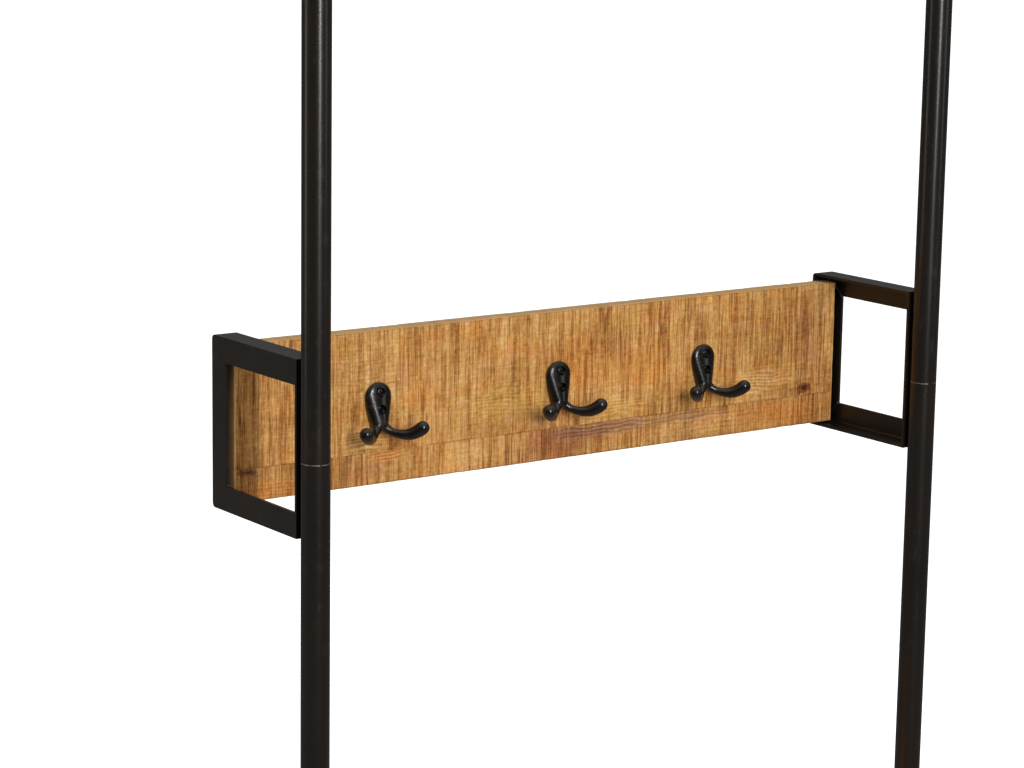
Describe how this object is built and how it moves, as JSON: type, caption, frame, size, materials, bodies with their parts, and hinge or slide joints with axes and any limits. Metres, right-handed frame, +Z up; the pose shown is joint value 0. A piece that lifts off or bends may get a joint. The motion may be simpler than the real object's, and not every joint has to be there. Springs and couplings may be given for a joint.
{
  "type": "hall tree with hooks",
  "caption": "Free-standing hall tree: black round posts joined by a bent hoop, a wooden hook board on welded brackets behind them, and a low bench with a shoe shelf.",
  "frame": {"origin": "on the floor under the middle of the object", "axes": "+Z up, -Y towards the front where the hooks face, +X to the right seen from the front"},
  "size_m": [0.8, 0.3512, 1.8],
  "materials": {
    "black_metal": "satin powder coat on tube and angle iron",
    "cast_black": "satin-gloss black lacquer on a cast surface",
    "black_screw": "blackened steel fasteners",
    "zinc_steel": "zinc plated inner tube",
    "rough_wood": "rough-sawn mango wood with a clear matt finish, saw marks across the grain",
    "black_plastic": "moulded glides"
  },
  "bodies": {
    "root": {"upper_hoop": "black_metal", "lower_post_left": "black_metal", "lower_post_right": "black_metal", "bracket_left": "black_metal", "bracket_right": "black_metal", "side_frame_left": "black_metal", "side_frame_right": "black_metal", "seat_rail_front": "black_metal", "seat_rail_rear": "black_metal", "shelf_rail_front": "black_metal", "shelf_rail_rear": "black_metal", "post_spigot_left": "zinc_steel", "post_spigot_right": "zinc_steel", "bracket_bolt_left_upper": "black_screw", "board_screw_left_upper": "black_screw", "post_bolt_left_upper": "black_screw", "bracket_bolt_left_lower": "black_screw", "board_screw_left_lower": "black_screw", "post_bolt_left_lower": "black_screw", "leg_glide_left_front": "black_plastic", "seat_rail_bolt_front_left": "black_screw", "shelf_rail_bolt_front_left": "black_screw", "leg_glide_left_rear": "black_plastic", "seat_rail_bolt_rear_left": "black_screw", "shelf_rail_bolt_rear_left": "black_screw", "post_glide_left": "black_plastic", "bracket_bolt_right_upper": "black_screw", "board_screw_right_upper": "black_screw", "post_bolt_right_upper": "black_screw", "bracket_bolt_right_lower": "black_screw", "board_screw_right_lower": "black_screw", "post_bolt_right_lower": "black_screw", "leg_glide_right_front": "black_plastic", "seat_rail_bolt_front_right": "black_screw", "shelf_rail_bolt_front_right": "black_screw", "leg_glide_right_rear": "black_plastic", "seat_rail_bolt_rear_right": "black_screw", "shelf_rail_bolt_rear_right": "black_screw", "post_glide_right": "black_plastic", "board_plank_lower": "rough_wood", "board_plank_upper": "rough_wood", "seat_plank_1": "rough_wood", "seat_plank_2": "rough_wood", "seat_plank_3": "rough_wood", "shelf_plank_1": "rough_wood", "shelf_plank_2": "rough_wood", "shelf_plank_3": "rough_wood", "hook_left": "cast_black", "hook_left_screw_upper": "black_screw", "hook_left_screw_lower": "black_screw", "hook_middle": "cast_black", "hook_middle_screw_upper": "black_screw", "hook_middle_screw_lower": "black_screw", "hook_right": "cast_black", "hook_right_screw_upper": "black_screw", "hook_right_screw_lower": "black_screw"}
  },
  "joints": []
}
